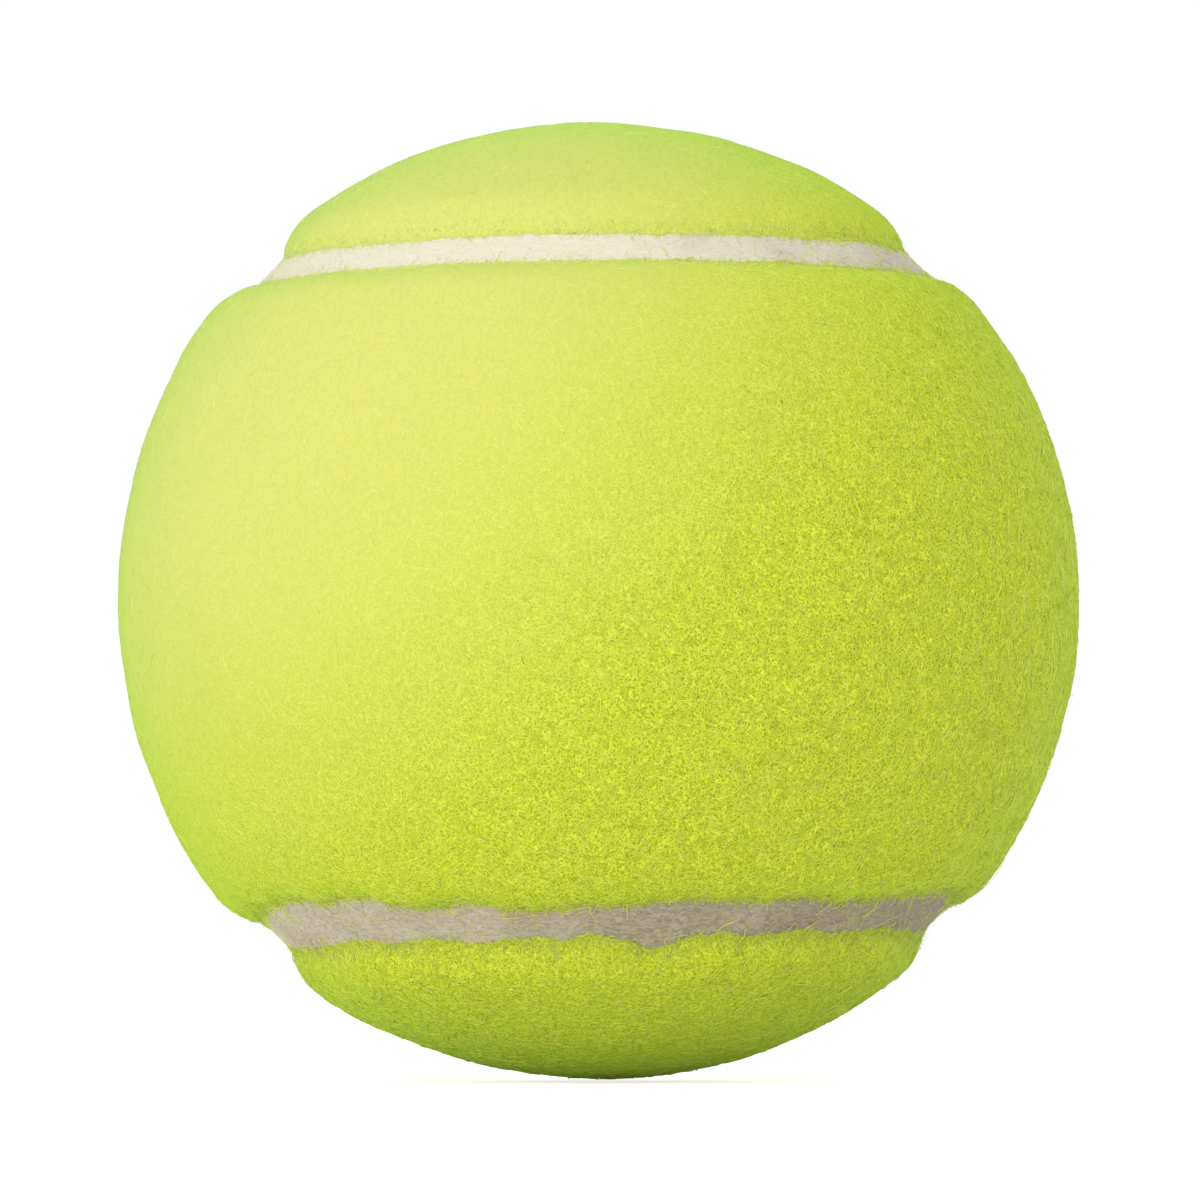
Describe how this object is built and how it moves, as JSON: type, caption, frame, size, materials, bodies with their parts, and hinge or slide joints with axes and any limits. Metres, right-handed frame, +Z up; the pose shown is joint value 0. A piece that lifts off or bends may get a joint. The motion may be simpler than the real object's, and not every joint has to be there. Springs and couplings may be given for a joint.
{
  "type": "tennis ball",
  "caption": "Felt-covered hollow rubber ball for racket play, with an endless recessed seam between interlocking dumbbell panels.",
  "frame": {"origin": "centre of the ball", "axes": "+Z up, -Y towards the viewer; the front panel's neck faces -Y between the upper and the lower stretch of the seam, its lobes lie at +X and -X, and the rear panel's lobes at +Z and -Z"},
  "size_m": [0.067, 0.067, 0.067],
  "materials": {
    "felt": "optic yellow-green napped wool and nylon felt, matt and fibrous",
    "seam": "pale warm grey cured rubber, matt and slightly rough, dusted with felt fibres",
    "core_rubber": "black moulded rubber, matt",
    "cement": "dried tan rubber cement, satin"
  },
  "bodies": {
    "root": {"core_half_upper": "core_rubber", "core_half_lower": "core_rubber", "core_joint_cement": "cement", "panel_cement_front": "cement", "panel_cement_rear": "cement", "felt_panel_front": "felt", "felt_panel_rear": "felt", "seam_rubber": "seam"}
  },
  "joints": []
}
